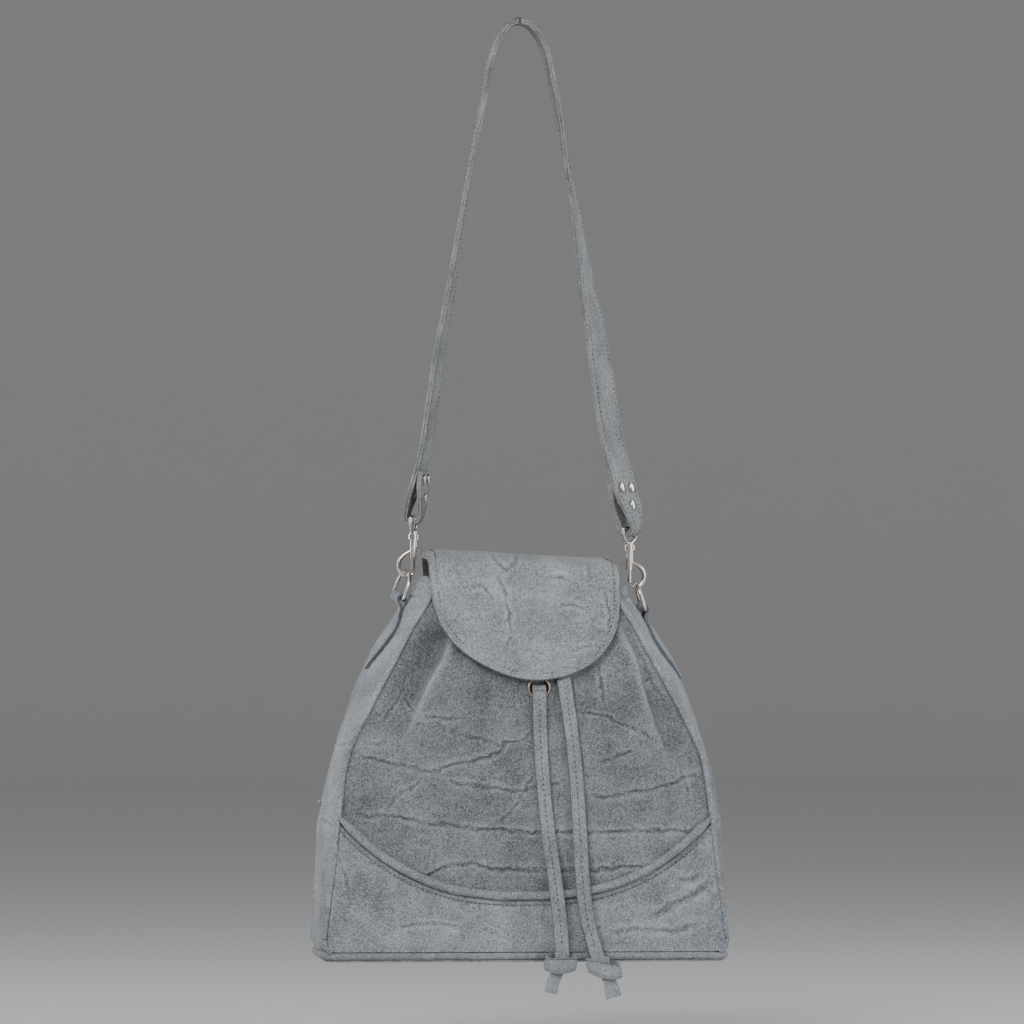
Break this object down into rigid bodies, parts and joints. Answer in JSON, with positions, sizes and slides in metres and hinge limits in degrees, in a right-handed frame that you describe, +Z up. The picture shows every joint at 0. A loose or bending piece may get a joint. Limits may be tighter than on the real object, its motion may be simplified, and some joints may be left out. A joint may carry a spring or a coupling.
{
  "type": "drawstring shoulder bag",
  "caption": "Soft leather bucket bag with a gathered drawstring mouth, a rounded flap, hanging strings and a strap on swivel snap hooks, stored hanging by its strap",
  "frame": {"origin": "underside of the strap's top, where a peg holds the hanging bag", "axes": "+Z up along the hanging bag, -Y towards its front with the flap, +X to the right seen from the front"},
  "size_m": [0.284, 0.1325, 0.6649],
  "materials": {
    "panel_leather": "soft pebbled, matt",
    "trim_leather": "soft pebbled, matt",
    "flap_leather": "soft wrinkled, matt",
    "strap_leather": "matt",
    "string_leather": "matt",
    "lining_fabric": "woven cotton",
    "stiffener": "plain board",
    "nickel": "polished nickel plate",
    "spring_steel": "bright wire",
    "eyelet_brass": "dull antique"
  },
  "bodies": {
    "strap": {"strap_outer": "strap_leather", "strap_lining": "strap_leather", "rivets_left": "nickel", "rivets_right": "nickel", "hook_eye_left": "nickel", "hook_eye_right": "nickel"},
    "bag": {"front_panel": "panel_leather", "front_band": "trim_leather", "band_piping": "trim_leather", "back_panel": "panel_leather", "back_pocket": "trim_leather", "pocket_hem": "trim_leather", "gusset_left": "trim_leather", "gusset_right": "trim_leather", "base_panel": "trim_leather", "base_board": "stiffener", "base_piping": "trim_leather", "lining": "lining_fabric", "piping_front_left": "trim_leather", "piping_front_right": "trim_leather", "piping_back_left": "trim_leather", "piping_back_right": "trim_leather", "tab_left": "trim_leather", "tab_right": "trim_leather", "eyelets_front": "eyelet_brass", "eyelets_back": "eyelet_brass", "washers_front": "eyelet_brass", "washers_back": "eyelet_brass", "snap_socket": "nickel", "drawstring_run": "string_leather", "flap_root": "flap_leather"},
    "flap": {"flap_outer": "flap_leather", "flap_lining": "lining_fabric", "snap_stud": "nickel"},
    "hook_left": {"hook_body_left": "nickel", "trigger_spring_left": "spring_steel"},
    "latch_left": {"trigger_left": "nickel"},
    "ring_left": {"d_ring_left": "nickel"},
    "string_left": {"drawstring_left": "string_leather", "knot_left": "string_leather"},
    "hook_right": {"hook_body_right": "nickel", "trigger_spring_right": "spring_steel"},
    "latch_right": {"trigger_right": "nickel"},
    "ring_right": {"d_ring_right": "nickel"},
    "string_right": {"drawstring_right": "string_leather", "knot_right": "string_leather"}
  },
  "joints": [
    {"name": "bag_swing", "type": "hinge", "parent": "strap", "child": "bag", "pos_m": [0.00165, 0, -0.38025], "axis": [0.9989, 0, -0.0473], "range_deg": [-45, 45]},
    {"name": "flap_lift", "type": "hinge", "parent": "bag", "child": "flap", "pos_m": [0, 0.0349, -0.3735], "axis": [-1, 0, 0], "range_deg": [0, 28]},
    {"name": "hook_swivel_left", "type": "hinge", "parent": "strap", "child": "hook_left", "pos_m": [-0.0725, 0, -0.3505], "axis": [0, 0, 1], "range_deg": [-5, 5]},
    {"name": "latch_pull_left", "type": "slide", "parent": "hook_left", "child": "latch_left", "axis": [0, 0, 1], "range_m": [0, 0.0038], "stiffness_N_per_m": 250, "springref_m": -0.003, "deforming": ["trigger_spring_left"]},
    {"name": "ring_tilt_left", "type": "hinge", "parent": "bag", "child": "ring_left", "pos_m": [-0.08248, 0.00116, -0.39082], "axis": [-0.256, 0.9523, 0.1661], "range_deg": [-1, 1]},
    {"name": "string_lift_left", "type": "hinge", "parent": "bag", "child": "string_left", "pos_m": [0.01, -0.0448, -0.4545], "axis": [-1, 0, 0], "range_deg": [0, 60]},
    {"name": "hook_swivel_right", "type": "hinge", "parent": "strap", "child": "hook_right", "pos_m": [0.0758, 0, -0.358], "axis": [0, 0, 1], "range_deg": [-5, 5]},
    {"name": "latch_pull_right", "type": "slide", "parent": "hook_right", "child": "latch_right", "axis": [0, 0, 1], "range_m": [0, 0.0038], "stiffness_N_per_m": 250, "springref_m": -0.003, "deforming": ["trigger_spring_right"]},
    {"name": "ring_tilt_right", "type": "hinge", "parent": "bag", "child": "ring_right", "pos_m": [0.08518, 0.00264, -0.39832], "axis": [-0.0508, 0.9848, 0.1661], "range_deg": [-1, 1]},
    {"name": "string_lift_right", "type": "hinge", "parent": "bag", "child": "string_right", "pos_m": [0.0266, -0.0442, -0.4465], "axis": [-1, 0, 0], "range_deg": [0, 60]}
  ]
}
